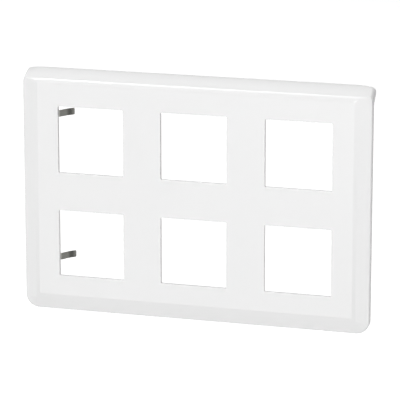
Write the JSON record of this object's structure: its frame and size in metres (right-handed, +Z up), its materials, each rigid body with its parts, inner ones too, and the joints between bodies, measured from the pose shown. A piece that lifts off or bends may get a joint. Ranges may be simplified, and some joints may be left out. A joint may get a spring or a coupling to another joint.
{
  "type": "grid switch plate",
  "caption": "Wide wall cover plate with square module openings, bevelled margins, a sloped top edge and sprung metal clips at the left openings.",
  "frame": {"origin": "in the wall plane, behind the middle of the six openings", "axes": "+X to the right along the plate, +Y into the wall, +Z up"},
  "size_m": [0.238, 0.013, 0.1645],
  "materials": {
    "white_plastic": "smooth moulded, satin gloss",
    "spring_steel": "plain rolled strip"
  },
  "bodies": {
    "root": {"cover_plate": "white_plastic", "upper_spring_clip": "spring_steel", "lower_spring_clip": "spring_steel"}
  },
  "joints": []
}
